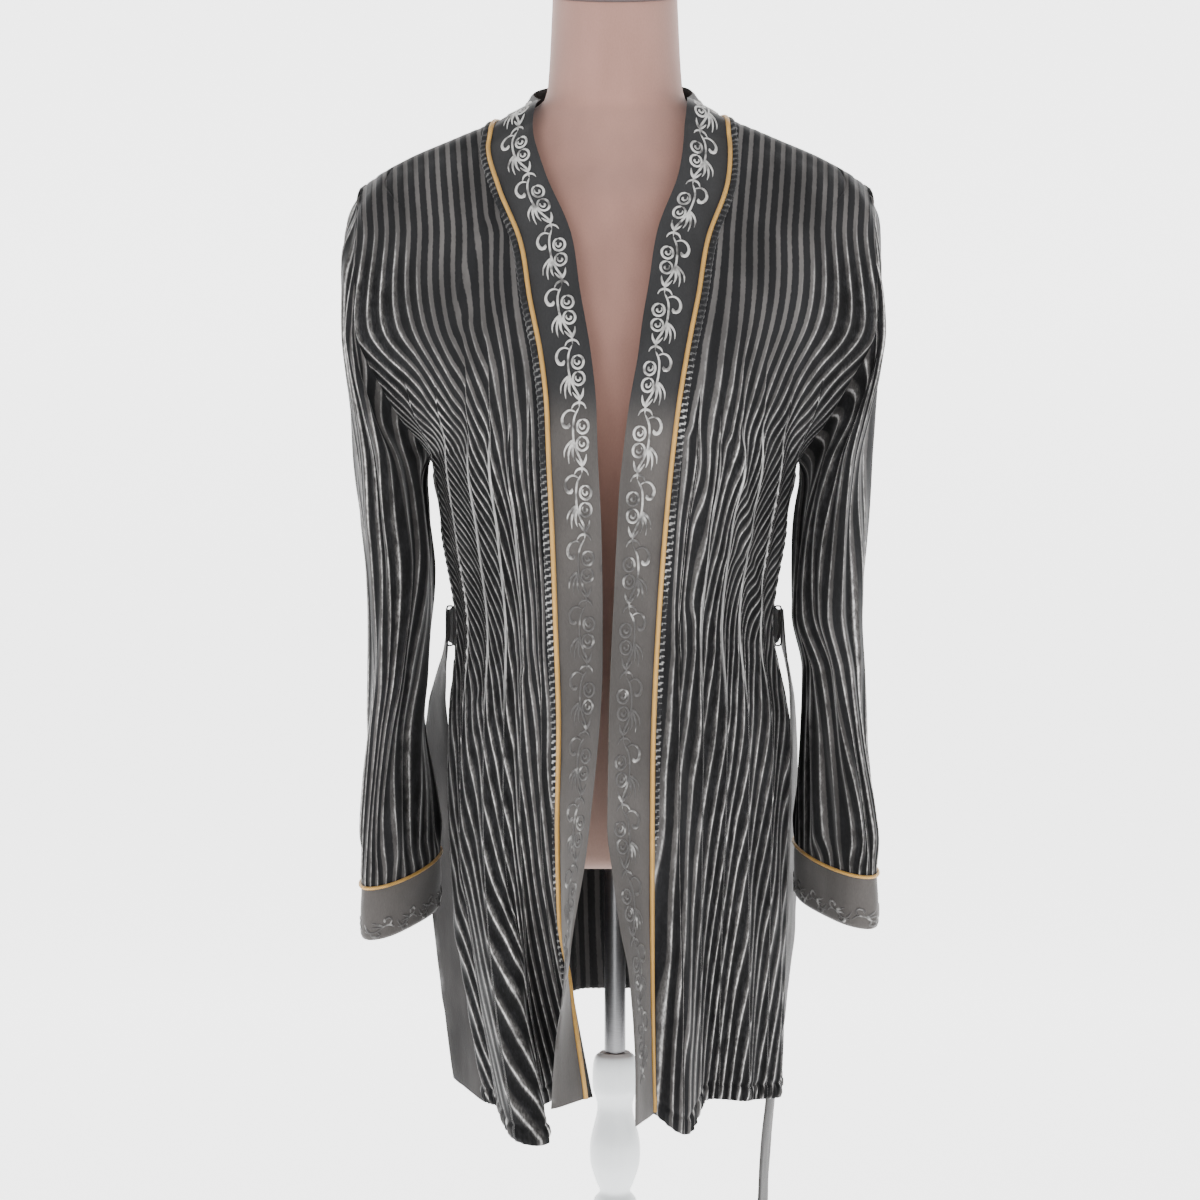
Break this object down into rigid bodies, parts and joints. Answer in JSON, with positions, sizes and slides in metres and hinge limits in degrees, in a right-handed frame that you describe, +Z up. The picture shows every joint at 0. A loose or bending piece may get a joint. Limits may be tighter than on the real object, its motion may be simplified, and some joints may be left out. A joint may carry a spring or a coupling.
{
  "type": "kimono robe on dress form",
  "caption": "Short ribbed velvet robe with long set-in sleeves, a plain front band, piped seams and a tie belt, hanging open on a limbless dress form with a turned stand.",
  "frame": {"origin": "middle of the underside of the stand's base", "axes": "+Z up, -Y the robe's open front, -X the wearer's right"},
  "size_m": [0.4467, 0.4009, 1.4951],
  "materials": {
    "ribbed_velvet": "ribbed charcoal velvet pile",
    "plain_velvet": "plain grey velvet pile",
    "gold_piping": "gold metallic thread",
    "form_cover": "dusty pink velour",
    "neck_cap": "dark lacquer",
    "rod": "satin",
    "white_paint": "gloss white paint"
  },
  "bodies": {
    "root": {"front_right": "ribbed_velvet", "front_left": "ribbed_velvet", "back": "ribbed_velvet", "sleeve_right": "ribbed_velvet", "sleeve_left": "ribbed_velvet", "band_right": "plain_velvet", "band_left": "plain_velvet", "band_neck": "plain_velvet", "cuff_right": "plain_velvet", "cuff_left": "plain_velvet", "belt_back": "plain_velvet", "belt_fall_right": "plain_velvet", "belt_fall_left": "plain_velvet", "belt_loop_right": "plain_velvet", "belt_loop_left": "plain_velvet", "piping_right": "gold_piping", "piping_left": "gold_piping", "piping_neck": "gold_piping", "piping_cuff_right": "gold_piping", "piping_cuff_left": "gold_piping", "form_torso": "form_cover", "neck_cap": "neck_cap", "rod": "rod", "post": "white_paint", "base": "white_paint"}
  },
  "joints": []
}
